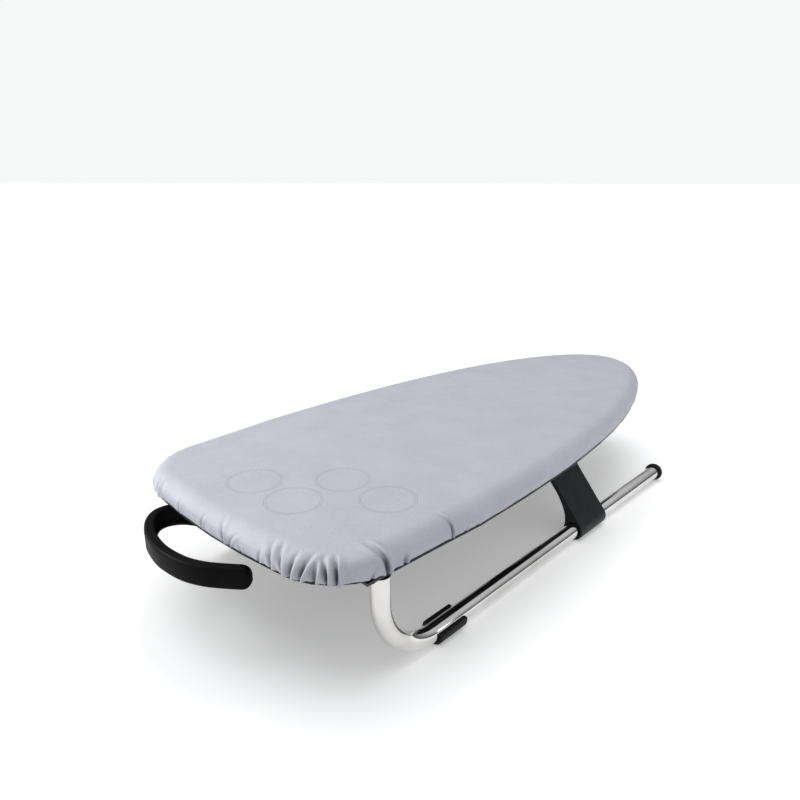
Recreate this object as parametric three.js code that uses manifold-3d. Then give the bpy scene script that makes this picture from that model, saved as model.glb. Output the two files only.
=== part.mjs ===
// A compact tabletop ironing board: a ventilated moulded panel under a felt pad and a fitted cover,
// on two J-shaped chromed legs. Each leg hangs on a hinge under the long edge and folds inwards flat
// under the panel, and a brace that turns on the leg's runner props it against a catch.
// Millimetres, +Z up, +X towards the nose. The origin is under the middle of the whole object, on the
// surface that it stands on. "Right" is the -Y side and "left" is the +Y side.

import * as THREE from "three";
import { mergeVertices } from "three/addons/utils/BufferGeometryUtils.js";
import Module from "manifold-3d";

const wasm = await Module();
wasm.setup();

// ---- driving dimensions -------------------------------------------------------------------------

// Plan of the board, with x measured from its wide rear end.
const boardLength = 750;
const rearHalfWidth = 157;
const shoulderHalfWidth = 164.5;
const shoulderX = 177;
const sideSwell = 1.6;
const noseFullness = 2.227;
const rearCornerRadius = 68;
const rearBulge = 5;

// Legs: bent tubes that stand in upright planes along both long sides.
const tubeRadius = 9;
const tubeWall = 1.2;
const legOffset = 142;
const legTopX = 67;
const bendRadius = 70;
const runnerEndX = 632;
const rubberUnderTube = 3.6;
const hingeAboveFloor = 107.5;
const tubeTop = 108.5;
const foldAngle = 80;

// Stack of layers, from the surface that the board stands on.
const panelBottom = 117.5;
const ledgeTop = 119.8;
const panelTop = 136;
const padTop = 141;
const crown = 142.3;
const coverThickness = 1;
const coverHem = 120.1;
const edgeRadius = 10;

// Insets of the layers from the outline of the cover.
const ledgeInset = 1.2;
const wallInset = 3.6;
const cordWidth = 1.9;

// Moulded ribs under the panel.
const skin = 3;
const ribThickness = 2.5;
const cellX = 62;
const cellY = 50;
const ventRadius = 4;

// Hinges. A tongue hangs from the plate into a slot in the tube's end, and the pin crosses both.
const pinRadius = 2.5;
const pinBore = 2.85;
const pinHeadRadius = 3.4;
const pinHeadHeight = 1.5;
const tongueRadius = 4.6;
const tongueHalfWidth = 2.5;
const slotHalfWidth = 2.9;
const plateThickness = 2.5;
const plateReach = 26;
const plateInboard = 9;
const plateOutboard = 12;
const plugDepth = 15;

// Braces, which stand one behind the other along x so that they lie side by side when folded.
const braceWidth = 62;
const braceStartX = { right: 400, left: 480 };
const braceLean = 50;
const braceThickness = 5.6;
const braceReach = 72;
const braceFace = 6;
const flareReach = 50;
const flareBend = { along: 20, in: 1.5 };
const beadRadius = 5;
const cradleRadius = 5.4;

// Catch posts, measured from the middle of the bead.
const postInset = 6;
const postOuter = 8;
const postInner = 6.5;
const postFoot = 1;
const postNotch = 4.7;
const postPlate = 22;
const postHollow = { above: 9, wall: 3, between: 3, depth: 4 };

// Screws.
const screwRadius = 1.7;
const screwHeadRadius = 3.6;
const screwHeadHeight = 2.2;
const screwHole = 2.1;
const screwDepth = 11;
const hingeScrewSpread = 19;
const hingeScrewOut = 1;
const catchScrewSpread = 18;
const catchScrewIn = 15;

// Hanging handle, a band that curls out from under the rear end, on a ribbed plate.
const handleTop = 115;
const handleHeight = 21.5;
const handleThickness = 10;
const handleEdge = 3.2;
const handlePlate = { x: [16, 56], y: [38, 95], overlap: 3 };
const handleRibs = { x: [30, 50], halfWidth: 1.5, y: [42, 92], depth: 8 };
const handleScrews = [[40, 52], [40, 82]];

// Solid bosses inside the panel, over the handle, the hinges and the catches.
const handleBoss = { x: [8, 62], y: [34, 100] };
const hingeBoss = { along: 28, across: 18 };
const catchBoss = 24;

// Rubber feet, half-sleeves that clip on from below and rise higher on the inner side.
const footStart = 136;
const footLength = 38;
const footThickness = 3.6;
const footClearance = 0.35;
const footOuterLip = 3;
const footInnerLip = 6.6;

// Gap between pieces that touch.
const gap = 0.3;

// ---- derived dimensions -------------------------------------------------------------------------

const runnerZ = tubeRadius + rubberUnderTube;
const bendX = legTopX + bendRadius;
const plateTop = panelBottom - gap;
const plateBottom = plateTop - plateThickness;
const screwThrough = [plateBottom - 1, plateTop + 1];
const sleeveRadius = runnerZ;
const sleeveBore = tubeRadius + 0.5;
const lean = THREE.MathUtils.degToRad(braceLean);
const beadOffset = sleeveRadius - braceThickness / 2;
const sides = { right: -1, left: 1 };
const handleFoot = handleTop - handlePlate.overlap;
const hingeScrewX = [legTopX - hingeScrewSpread, legTopX + hingeScrewSpread];

// Middle of the bead at a brace's top, with y measured outwards on either side.
const catchCentre = {
  y: legOffset - braceReach * Math.cos(lean) + beadOffset * Math.sin(lean),
  z: runnerZ + braceReach * Math.sin(lean) + beadOffset * Math.cos(lean),
};

// Middle line of the handle in plan, from under the board round to the free end.
const handleLine = new THREE.CatmullRomCurve3([
  [24, 50], [20, 68], [11, 81], [0, 87], [-11, 86], [-21.5, 77], [-30, 63], [-35.5, 48], [-39.7, 22],
  [-37.5, -7], [-30.5, -27], [-20.8, -42.5], [-8.5, -58.5],
].map(([x, y]) => new THREE.Vector3(x, y, 0)));
const handlePoints = handleLine.getPoints(28);
const handleReach = handleThickness / 2 - Math.min(...handlePoints.map((p) => p.x));
const middleX = (boardLength - handleReach) / 2;

// ---- solids -------------------------------------------------------------------------------------

function solidOf(geometry) {
  geometry.deleteAttribute("normal");
  geometry.deleteAttribute("uv");
  const merged = mergeVertices(geometry, 1e-4);
  const mesh = new wasm.Mesh({
    numProp: 3,
    vertProperties: new Float32Array(merged.attributes.position.array),
    triVerts: new Uint32Array(merged.index.array),
  });
  return new wasm.Manifold(mesh);
}

function geometryOf(solid) {
  const mesh = solid.getMesh();
  const geometry = new THREE.BufferGeometry();
  geometry.setAttribute("position", new THREE.BufferAttribute(new Float32Array(mesh.vertProperties), 3));
  geometry.setIndex(new THREE.BufferAttribute(new Uint32Array(mesh.triVerts), 1));
  geometry.computeVertexNormals();
  return geometry;
}

function block([x0, x1], [y0, y1], [z0, z1]) {
  const geometry = new THREE.BoxGeometry(x1 - x0, y1 - y0, z1 - z0);
  return solidOf(geometry.translate((x0 + x1) / 2, (y0 + y1) / 2, (z0 + z1) / 2));
}

function rodAlongX(radius, [x0, x1], y, z, segments = 16) {
  const geometry = new THREE.CylinderGeometry(radius, radius, x1 - x0, segments);
  return solidOf(geometry.rotateZ(-Math.PI / 2).translate((x0 + x1) / 2, y, z));
}

function rodAlongZ(radius, x, y, [z0, z1], segments = 12) {
  const geometry = new THREE.CylinderGeometry(radius, radius, z1 - z0, segments);
  return solidOf(geometry.rotateX(Math.PI / 2).translate(x, y, (z0 + z1) / 2));
}

// A section drawn in (y, z) and extruded along x.
function prismAlongX(section, [x0, x1]) {
  const geometry = new THREE.ExtrudeGeometry(section, { depth: x1 - x0, bevelEnabled: false });
  const swap = new THREE.Matrix4().makeBasis(
    new THREE.Vector3(0, 1, 0), new THREE.Vector3(0, 0, 1), new THREE.Vector3(1, 0, 0));
  return solidOf(geometry.applyMatrix4(swap).translate(x0, 0, 0));
}

// A profile of [radius, height] points turned round the +X direction, from x0.
function turnedAlongX(profile, x0, y, z, segments = 20) {
  const geometry = new THREE.LatheGeometry(profile.map(([r, h]) => new THREE.Vector2(r, h)), segments);
  return solidOf(geometry.rotateZ(-Math.PI / 2).translate(x0, y, z));
}

function circlePoints(radius, cx, cy, fromDegrees, toDegrees, step) {
  const points = [];
  for (let a = fromDegrees; a <= toDegrees + 1e-6; a += step) {
    const angle = THREE.MathUtils.degToRad(a);
    points.push(new THREE.Vector2(cx + radius * Math.cos(angle), cy + radius * Math.sin(angle)));
  }
  return points;
}

// ---- board outline ------------------------------------------------------------------------------

function sideHalfWidth(x) {
  return rearHalfWidth + (shoulderHalfWidth - rearHalfWidth) * (x / shoulderX) ** sideSwell;
}

// Half of the outline, from the middle of the rear end round to the tip of the nose.
function halfOutline() {
  const points = [];
  const flat = rearHalfWidth - rearCornerRadius;
  for (const y of [0, flat / 2]) {
    points.push([-rearBulge * (1 - (y / flat) ** 2), y]);
  }
  for (let a = 0; a <= 90; a += 15) {
    const angle = THREE.MathUtils.degToRad(a);
    const x = rearCornerRadius * (1 - Math.cos(angle));
    points.push([x, sideHalfWidth(x) - rearCornerRadius * (1 - Math.sin(angle))]);
  }
  const straight = (rearCornerRadius + shoulderX) / 2;
  points.push([straight, sideHalfWidth(straight)]);
  for (let b = 0; b <= 90; b += 6) {
    const angle = THREE.MathUtils.degToRad(b);
    const along = Math.sin(angle) ** (2 / noseFullness);
    points.push([shoulderX + (boardLength - shoulderX) * along, shoulderHalfWidth * Math.cos(angle)]);
  }
  return points;
}

// The whole outline, counter-clockwise, moved inwards by an inset.
function outline(inset = 0) {
  const right = halfOutline().map(([x, y]) => new THREE.Vector2(x, -y));
  const left = halfOutline().slice(1, -1).reverse().map(([x, y]) => new THREE.Vector2(x, y));
  const points = [...right, ...left];
  return points.map((point, i) => {
    const before = points[(i + points.length - 1) % points.length];
    const after = points[(i + 1) % points.length];
    const into = point.clone().sub(before).normalize();
    const out = after.clone().sub(point).normalize();
    const along = into.clone().add(out).normalize();
    const mitre = inset / along.dot(into);
    return new THREE.Vector2(point.x - along.y * mitre, point.y + along.x * mitre);
  });
}

function slab(inset, [z0, z1]) {
  const geometry = new THREE.ExtrudeGeometry(new THREE.Shape(outline(inset)), {
    depth: z1 - z0, bevelEnabled: false,
  });
  return solidOf(geometry.translate(0, 0, z0));
}

// A slab whose upper edge is rounded over.
function crownedSlab(inset, [z0, z1], radius) {
  const geometry = new THREE.ExtrudeGeometry(new THREE.Shape(outline(inset)), {
    depth: z1 - z0, bevelThickness: radius, bevelSize: radius, bevelOffset: -radius, bevelSegments: 3,
  });
  const whole = solidOf(geometry.translate(0, 0, z0 - radius));
  return whole.subtract(block([-50, 800], [-300, 300], [z0 - 3 * radius, z0]));
}

// ---- board --------------------------------------------------------------------------------------

function ordered(a, b) {
  return [Math.min(a, b), Math.max(a, b)];
}

function catchScrews(side) {
  const middle = braceStartX[side] + braceWidth / 2;
  const y = sides[side] * (catchCentre.y - catchScrewIn);
  return [[middle - catchScrewSpread, y], [middle + catchScrewSpread, y]];
}

function screwPlaces() {
  const places = handleScrews.map(([x, y], i) => ({
    name: `handle_screw_${i + 1}`, x, y, headTop: handleFoot - gap,
  }));
  for (const side of ["right", "left"]) {
    const y = sides[side] * (legOffset + hingeScrewOut);
    hingeScrewX.forEach((x, i) => places.push({
      name: `hinge_screw_${side}_${i + 1}`, x, y, headTop: plateBottom - gap,
    }));
    catchScrews(side).forEach(([x, screwY], i) => places.push({
      name: `catch_screw_${side}_${i + 1}`, x, y: screwY, headTop: plateBottom - gap,
    }));
  }
  return places;
}

function makeBosses() {
  const zs = [panelBottom - 1, panelTop];
  let bosses = block(handleBoss.x, handleBoss.y, zs);
  for (const [side, s] of Object.entries(sides)) {
    const hingeY = ordered(s * (legOffset - hingeBoss.across), s * (legOffset + hingeBoss.across));
    const catchY = ordered(s * (catchCentre.y - catchBoss), s * (catchCentre.y + catchBoss));
    bosses = bosses.add(block([legTopX - hingeBoss.along, legTopX + hingeBoss.along], hingeY, zs));
    bosses = bosses.add(block([braceStartX[side], braceStartX[side] + braceWidth], catchY, zs));
  }
  return bosses;
}

function makePanel() {
  let cells = slab(wallInset + skin, [panelBottom - 1, panelTop - skin]);
  const ribsFrom = cellX / 2;
  for (let x = ribsFrom; x < boardLength; x += cellX) {
    cells = cells.subtract(block([x - ribThickness / 2, x + ribThickness / 2], [-200, 200], [100, 150]));
  }
  for (let y = -2.5 * cellY; y <= 2.5 * cellY; y += cellY) {
    cells = cells.subtract(block([-20, 800], [y - ribThickness / 2, y + ribThickness / 2], [100, 150]));
  }
  cells = cells.subtract(makeBosses());
  let panel = slab(wallInset, [panelBottom, panelTop]).add(slab(ledgeInset, [panelBottom, ledgeTop]));
  panel = panel.subtract(cells);
  for (let x = 2 * ribsFrom; x < boardLength - cellX; x += cellX) {
    for (const y of [-2 * cellY, -cellY, 0, cellY, 2 * cellY]) {
      if (Math.abs(y) > 1.5 * cellY && x > 0.7 * boardLength) continue;
      panel = panel.subtract(rodAlongZ(ventRadius, x, y, [panelBottom + 4, panelTop + 1], 6));
    }
  }
  for (const { x, y } of screwPlaces()) {
    panel = panel.subtract(rodAlongZ(screwHole, x, y, [panelBottom - 1, panelBottom + screwDepth + 1]));
  }
  return panel;
}

function makePad() {
  return crownedSlab(coverThickness + gap, [panelTop + gap, padTop], edgeRadius - coverThickness - gap);
}

function makeCover() {
  const outside = crownedSlab(0, [coverHem, crown], edgeRadius);
  const insideZ = [coverHem - 5, crown - coverThickness];
  const inside = crownedSlab(coverThickness, insideZ, edgeRadius - coverThickness);
  return outside.subtract(inside);
}

function makeHemCord() {
  const outer = coverThickness + gap;
  const ring = slab(outer, [ledgeTop + gap, ledgeTop + gap + cordWidth]);
  return ring.subtract(slab(outer + cordWidth, [ledgeTop - 1, ledgeTop + gap + cordWidth + 1]));
}

// ---- hanging handle -----------------------------------------------------------------------------

function makeHandle() {
  const half = handleThickness / 2;
  const directions = handlePoints.map((point, i) => {
    const before = handlePoints[Math.max(i - 1, 0)];
    const after = handlePoints[Math.min(i + 1, handlePoints.length - 1)];
    return after.clone().sub(before).normalize();
  });
  const offset = (sign) => handlePoints.map((point, i) => new THREE.Vector2(
    point.x - sign * half * directions[i].y, point.y + sign * half * directions[i].x));
  const tip = handlePoints[handlePoints.length - 1];
  const tipAngle = THREE.MathUtils.radToDeg(Math.atan2(directions.at(-1).y, directions.at(-1).x));
  const tipRound = circlePoints(half, tip.x, tip.y, tipAngle - 60, tipAngle + 60, 30);
  const edge = [...offset(-1), ...tipRound, ...offset(1).reverse()];
  const band = new THREE.ExtrudeGeometry(new THREE.Shape(edge), {
    depth: handleHeight - 2 * handleEdge, bevelThickness: handleEdge, bevelSize: handleEdge,
    bevelOffset: -handleEdge, bevelSegments: 2,
  });
  let handle = solidOf(band.translate(0, 0, handleTop - handleHeight + handleEdge));
  handle = handle.add(block(handlePlate.x, handlePlate.y, [handleFoot, plateTop]));
  for (const x of handleRibs.x) {
    const ribX = [x - handleRibs.halfWidth, x + handleRibs.halfWidth];
    handle = handle.add(block(ribX, handleRibs.y, [handleFoot - handleRibs.depth, handleFoot + 1]));
  }
  for (const [x, y] of handleScrews) {
    handle = handle.subtract(rodAlongZ(screwHole, x, y, [handleFoot - 1, plateTop + 1]));
  }
  return handle;
}

// ---- hinges -------------------------------------------------------------------------------------

function makeHingeBracket(s) {
  const y = s * legOffset;
  const across = (inner, outer) => ordered(y - s * inner, y + s * outer);
  const tongueX = [legTopX - tongueHalfWidth, legTopX + tongueHalfWidth];
  const zs = [plateBottom, plateTop];
  const bridge = across(-tongueHalfWidth, plateOutboard);
  let bracket = block([legTopX - plateReach, legTopX + plateReach], bridge, zs);
  for (const sign of [-1, 1]) {
    const flange = ordered(legTopX + sign * (tubeRadius + 1), legTopX + sign * plateReach);
    bracket = bracket.add(block(flange, across(plateInboard, plateOutboard), zs));
  }
  bracket = bracket.add(block(tongueX, across(tongueRadius, tongueRadius), [hingeAboveFloor, plateTop]));
  bracket = bracket.add(rodAlongX(tongueRadius, tongueX, y, hingeAboveFloor, 20));
  bracket = bracket.subtract(rodAlongX(pinBore, [tongueX[0] - 1, tongueX[1] + 1], y, hingeAboveFloor));
  for (const x of hingeScrewX) {
    bracket = bracket.subtract(rodAlongZ(screwHole, x, s * (legOffset + hingeScrewOut), screwThrough));
  }
  return bracket;
}

function makeHingePin(s) {
  const headIn = tubeRadius + gap;
  const headOut = headIn + pinHeadHeight;
  const rim = headIn + pinHeadHeight / 2;
  const dome = pinHeadRadius - 0.8;
  return turnedAlongX([
    [0, -headOut], [dome, -headOut], [pinHeadRadius, -rim], [pinHeadRadius, -headIn], [pinRadius, -headIn],
    [pinRadius, headIn], [pinHeadRadius, headIn], [pinHeadRadius, rim], [dome, headOut], [0, headOut],
  ], legTopX, s * legOffset, hingeAboveFloor, 16);
}

// The slot for the tongue, open at the tube's end and through its inboard wall.
function tongueSlot(s) {
  const y = s * legOffset;
  const slotX = [legTopX - slotHalfWidth, legTopX + slotHalfWidth];
  const slotY = ordered(y - s * 2 * tubeRadius, y + s * (tongueRadius + gap));
  return block(slotX, slotY, [hingeAboveFloor - tongueRadius - gap, tubeTop + 1]);
}

function pinHole(s) {
  const across = [legTopX - 2 * tubeRadius, legTopX + 2 * tubeRadius];
  return rodAlongX(pinBore, across, s * legOffset, hingeAboveFloor);
}

// A plug that fills the tube's end round the tongue and carries the pin.
function makeKnuckle(s) {
  const y = s * legOffset;
  const plug = rodAlongZ(tubeRadius - tubeWall - 0.4, legTopX, y, [tubeTop - plugDepth, tubeTop - gap], 20);
  return plug.subtract(tongueSlot(s)).subtract(pinHole(s));
}

function makeScrew({ x, y, headTop }) {
  const geometry = new THREE.LatheGeometry([
    [0, -screwHeadHeight], [screwHeadRadius - 1.2, -screwHeadHeight], [screwHeadRadius, -screwHeadHeight + 1],
    [screwHeadRadius, 0], [screwRadius, 0], [screwRadius, screwDepth], [0, screwDepth + 2],
  ].map(([r, h]) => new THREE.Vector2(r, h)), 12);
  return solidOf(geometry.rotateX(Math.PI / 2).translate(x, y, headTop));
}

// ---- legs ---------------------------------------------------------------------------------------

// Middle line of a leg: down from the hinge, round the bend and along the runner. Its stations are
// the only places where the tube's faces meet, so the straight stretches have none between.
class LegLine extends THREE.Curve {
  constructor(y) {
    super();
    this.stations = [new THREE.Vector3(legTopX, y, tubeTop)];
    for (let a = 0; a <= 90; a += 9) {
      const angle = THREE.MathUtils.degToRad(a);
      this.stations.push(new THREE.Vector3(
        bendX - bendRadius * Math.cos(angle), y, runnerZ + bendRadius * (1 - Math.sin(angle))));
    }
    this.stations.push(new THREE.Vector3(runnerEndX, y, runnerZ));
  }

  getPoint(t, target = new THREE.Vector3()) {
    const last = this.stations.length - 1;
    const i = Math.min(Math.floor(t * last + 1e-9), last - 1);
    return target.lerpVectors(this.stations[i], this.stations[i + 1], t * last - i);
  }

  // Equal steps of the curve's parameter, so that each step of the extrusion is one station.
  getUtoTmapping(u) {
    return u;
  }
}

function makeLegTube(s) {
  const line = new LegLine(s * legOffset);
  const section = new THREE.Shape(circlePoints(tubeRadius, 0, 0, 0, 337.5, 22.5));
  section.holes.push(new THREE.Path(circlePoints(tubeRadius - tubeWall, 0, 0, 0, 330, 30)));
  const steps = line.stations.length - 1;
  const tube = solidOf(new THREE.ExtrudeGeometry(section, { steps, extrudePath: line }));
  return tube.subtract(pinHole(s)).subtract(tongueSlot(s));
}

function makeFootPad(s) {
  const xs = [footStart, footStart + footLength];
  const beyond = [footStart - 1, footStart + footLength + 1];
  const y = s * legOffset;
  const outer = tubeRadius + footClearance + footThickness;
  let pad = rodAlongX(outer, xs, y, runnerZ, 28);
  pad = pad.subtract(rodAlongX(tubeRadius + footClearance, beyond, y, runnerZ, 28));
  for (const [way, lip] of [[s, footOuterLip], [-s, footInnerLip]]) {
    pad = pad.subtract(block(beyond, ordered(y, y + way * 2 * outer), [runnerZ + lip, runnerZ + 2 * outer]));
  }
  return pad.subtract(block(beyond, ordered(y - 2 * outer, y + 2 * outer), [-outer, 0]));
}

function makeEndCap(s) {
  const plug = tubeRadius - tubeWall - 0.5;
  return turnedAlongX([
    [0, -14], [plug, -14], [plug, gap], [10.6, gap], [12, 1.8], [12, 5], [10.4, 8], [7, 9.6], [0, 10],
  ], runnerEndX, s * legOffset, runnerZ);
}

// ---- braces -------------------------------------------------------------------------------------

// Section of a brace, drawn along its own lean: a sleeve round the runner, a flat arm whose outer face
// runs on from the sleeve, a hollow flare on the inner side, and a bead at the top.
function braceSection(s) {
  const outerFace = sleeveRadius;
  const innerFace = outerFace - braceThickness;
  const sleeve = circlePoints(sleeveRadius, 0, 0, 90, 320, 10);
  const from = sleeve[sleeve.length - 1];
  const flare = new THREE.QuadraticBezierCurve(
    from, new THREE.Vector2(flareBend.along, innerFace - flareBend.in),
    new THREE.Vector2(flareReach, innerFace));
  const bead = circlePoints(beadRadius, braceReach, beadOffset, -140, 140, 20);
  const points = [...sleeve, ...flare.getPoints(6).slice(1), ...bead];
  points.push(new THREE.Vector2(braceReach - braceFace, outerFace));
  const place = (p) => new THREE.Vector2(
    s * (legOffset - p.x * Math.cos(lean) + p.y * Math.sin(lean)),
    runnerZ + p.x * Math.sin(lean) + p.y * Math.cos(lean));
  return points.map(place);
}

function makeBrace(side) {
  const xs = [braceStartX[side], braceStartX[side] + braceWidth];
  const brace = prismAlongX(new THREE.Shape(braceSection(sides[side])), xs);
  return brace.subtract(rodAlongX(sleeveBore, [xs[0] - 1, xs[1] + 1], sides[side] * legOffset, runnerZ));
}

// A moulded post under the panel, with a cradle across its foot for the brace's bead.
function makeCatch(side) {
  const s = sides[side];
  const xs = [braceStartX[side] + postInset, braceStartX[side] + braceWidth - postInset];
  const { y, z } = catchCentre;
  const outer = y + postOuter;
  const inner = y - postInner;
  const section = new THREE.Shape([
    [outer, z - postFoot], [outer, plateBottom], [y + postPlate, plateBottom], [y + postPlate, plateTop],
    [y - postPlate, plateTop], [y - postPlate, plateBottom], [inner, plateBottom], [inner, z + postNotch],
    [y, z + postNotch], [y, z - postFoot],
  ].map(([out, up]) => new THREE.Vector2(s * out, up)));
  let post = prismAlongX(section, xs);
  post = post.subtract(rodAlongX(cradleRadius, [xs[0] - 1, xs[1] + 1], s * y, z, 24));
  const hollowWidth = (xs[1] - xs[0] - 2 * postHollow.wall - postHollow.between) / 2;
  const hollowY = ordered(s * (y + postHollow.depth), s * (inner - 1));
  for (const x of [xs[0] + postHollow.wall, xs[1] - postHollow.wall - hollowWidth]) {
    post = post.subtract(block([x, x + hollowWidth], hollowY, [z + postHollow.above, plateBottom]));
  }
  for (const [x, screwY] of catchScrews(side)) {
    post = post.subtract(rodAlongZ(screwHole, x, screwY, screwThrough));
  }
  return post;
}

// ---- materials and assembly ---------------------------------------------------------------------

const materialOf = {
  cover: { color: 0xbcbfcb, roughness: 0.75, metalness: 0 },
  felt: { color: 0x8d8f92, roughness: 0.95, metalness: 0 },
  cord: { color: 0x2a2b2d, roughness: 0.8, metalness: 0 },
  panel: { color: 0x17181a, roughness: 0.6, metalness: 0 },
  handle: { color: 0x1d1f1d, roughness: 0.4, metalness: 0 },
  chrome: { color: 0xd8dade, roughness: 0.08, metalness: 1 },
  steel: { color: 0x3e3e3f, roughness: 0.45, metalness: 0.6 },
  rubber: { color: 0x232528, roughness: 0.7, metalness: 0 },
  slate: { color: 0x2b2f33, roughness: 0.45, metalness: 0 },
};

const board = new THREE.Group();
board.position.x = -middleX;

function addPiece(name, solid, material) {
  const mesh = new THREE.Mesh(geometryOf(solid), new THREE.MeshStandardMaterial(materialOf[material]));
  mesh.name = name;
  board.add(mesh);
}

addPiece("board_panel", makePanel(), "panel");
addPiece("felt_pad", makePad(), "felt");
addPiece("cover", makeCover(), "cover");
addPiece("hem_cord", makeHemCord(), "cord");
addPiece("hanging_handle", makeHandle(), "handle");
for (const place of screwPlaces()) {
  addPiece(place.name, makeScrew(place), "steel");
}
for (const [side, s] of Object.entries(sides)) {
  addPiece(`hinge_bracket_${side}`, makeHingeBracket(s), "steel");
  addPiece(`hinge_pin_${side}`, makeHingePin(s), "steel");
  addPiece(`hinge_knuckle_${side}`, makeKnuckle(s), "steel");
  addPiece(`leg_tube_${side}`, makeLegTube(s), "chrome");
  addPiece(`foot_pad_${side}`, makeFootPad(s), "rubber");
  addPiece(`end_cap_${side}`, makeEndCap(s), "rubber");
  addPiece(`brace_${side}`, makeBrace(side), "slate");
  addPiece(`brace_catch_${side}`, makeCatch(side), "panel");
}

export default board;
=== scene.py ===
"""Looks for the compact tabletop ironing board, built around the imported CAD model.

The board is described in its own millimetres: x runs from the wide rear end to the nose, y to the
board's left, z up from the surface that it stands on. place() turns them into the frame's metres.
"""

import math

import bmesh
import bpy
import numpy as np
from mathutils import Euler, Matrix, Vector


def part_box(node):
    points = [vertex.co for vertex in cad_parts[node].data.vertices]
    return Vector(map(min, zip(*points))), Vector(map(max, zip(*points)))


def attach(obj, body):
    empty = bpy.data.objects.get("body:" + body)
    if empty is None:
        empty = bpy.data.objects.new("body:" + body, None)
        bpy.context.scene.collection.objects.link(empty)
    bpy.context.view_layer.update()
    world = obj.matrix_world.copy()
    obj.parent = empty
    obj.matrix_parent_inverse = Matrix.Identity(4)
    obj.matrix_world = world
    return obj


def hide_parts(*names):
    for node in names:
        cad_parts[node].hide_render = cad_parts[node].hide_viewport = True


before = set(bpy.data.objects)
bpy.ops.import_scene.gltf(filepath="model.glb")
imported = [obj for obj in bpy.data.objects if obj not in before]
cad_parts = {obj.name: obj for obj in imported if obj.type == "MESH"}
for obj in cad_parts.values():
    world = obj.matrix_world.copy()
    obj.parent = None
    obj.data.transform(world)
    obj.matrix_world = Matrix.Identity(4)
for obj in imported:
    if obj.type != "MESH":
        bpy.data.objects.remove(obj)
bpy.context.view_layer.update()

# ---- dimensions, in millimetres ---------------------------------------------------------------------

MM = 0.001


def box_span(node, axis):
    """The lowest and highest millimetre of a CAD node along an axis."""
    low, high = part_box(node)
    return low[axis] / MM, high[axis] / MM


X, Y, Z = range(3)
SIDES = {"right": -1, "left": 1}

# The outline, whose nose is a superellipse.
BOARD_LENGTH = 750
REAR_HALF_WIDTH = 157
SHOULDER_HALF_WIDTH = 164.5
SHOULDER_X = 177
SIDE_SWELL = 1.6
NOSE_FULLNESS = 2.227
REAR_CORNER_RADIUS = 68
REAR_BULGE = 5
OUTLINE_SMOOTHING = 7.0
NOSE_X = box_span("cover", X)[1]

# Stations along the outline are closer together up to this far from the middle of the rear end.
FINE_STATIONS_TO = 300

# The cover. Its soft upper edge is a quarter of an ellipse, EDGE_REACH wide and EDGE_DROP high.
HEM, CROWN = box_span("cover", Z)
EDGE_REACH = 16
EDGE_DROP = 10.5
EDGE_ARC = math.pi / 2 * math.sqrt((EDGE_REACH ** 2 + EDGE_DROP ** 2) / 2)
SIDE_HEIGHT = CROWN - EDGE_DROP - HEM
BELLY_HEIGHT = SIDE_HEIGHT + 4
COVER_BELLY = 0.9
COVER_INSET = 0.3
CLOTH_THICKNESS = 0.7
HEM_TURN = 0.8
HEM_LIFT = 0.8
HEM_DROP_REACH = 10
COVER_ROWS = 24
COVER_TOP_STEPS = np.array([1.5, 3, 5, 8, 12, 17, 22])
# The flat top closes on a straight spine between these two places along x.
SPINE = (96, 688)

# Creases of the gathered hem, each with its foot along the outline, how far its top leans along, the
# way that it reaches up the cloth, its width and its depth.
CREASES = [
    (-55, 6, 20, 2.0, 1.2), (-13, 8, 22, 2.0, 1.5), (23, -6, 27, 2.4, 2.4), (31, 14, 20, 2.2, 1.4),
    (47, -4, 14, 2.2, 1.0), (70, 4, 15, 2.2, 1.8), (86, -5, 29, 2.8, 4.2), (100, -10, 29, 2.6, 5.4),
    (108, 3, 27, 2.2, 4.8), (117, 9, 27, 2.4, 5.8), (128, 2, 23, 2.6, 4.0), (139, -5, 25, 2.2, 6.2),
    (147, -3, 26, 1.9, 6.4), (174, 3, 11, 2.6, 1.6), (208, 0, 11, 2.6, 3.6), (283, 3, 10, 3.0, 0.8),
]
# Stretches along the outline that have seeded gathers instead, dense ones only near the nose.
REAR_LEFT_GATHERS = (-215, -82)
SIDE_GATHERS_FROM = 300
NOSE_GATHERS_REACH = 150
# The two long tucks on the right side, over the leg's top and further along.
TUCKS = [(189, -14, 37, 2.8, 7.6), (266, -7, 33, 1.6, 3.4)]
TUCK_OVERLAP = 0.45
# How far a valley may sink before the cloth meets what it covers, by the way up the cloth.
VALLEY_ROOM = ((0, 1.4), (4, 3.0), (10, 3.0), (15, 1.5), (20, 1.0), (28, 0.9), (38, 0.4))
# The slack that bulges over the leg's top: place along the outline, height, reach and depth.
BULGE = (168, 17, 22, 8, 2.6)
# Shallow waves along the hem: height, length over two pi, and phase.
RIPPLES = ((0.16, 9.1, 1.3), (0.12, 5.3, 0.0), (0.2, 23.0, 0.4))
RIPPLE_MIDDLE = 4
RIPPLE_REACH = 9
# Where the hem dips round the near corner, and where its edge is scalloped.
DIP_DEPTH, DIP_AT, DIP_REACH = 1.9, 160, 28
SCALLOP_DEPTH, SCALLOP_AT, SCALLOP_REACH, SCALLOP_SIZE = 0.45, 140, 50, 2.9

# The felt: inset and height above its underside of the points round its edge.
PAD_BOTTOM, PAD_TOP = box_span("felt_pad", Z)
PAD_EDGE = [(6.2, 0), (5.6, 0.5), (6.2, 1.3), (8.5, 2.3), (12.5, 3.5), (18, 4.4), (22, 4.7)]
CORD_MIDDLE = sum(box_span("hem_cord", Z)) / 2
CORD_RADIUS = 0.6
CORD_INSET = 2.9

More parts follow.
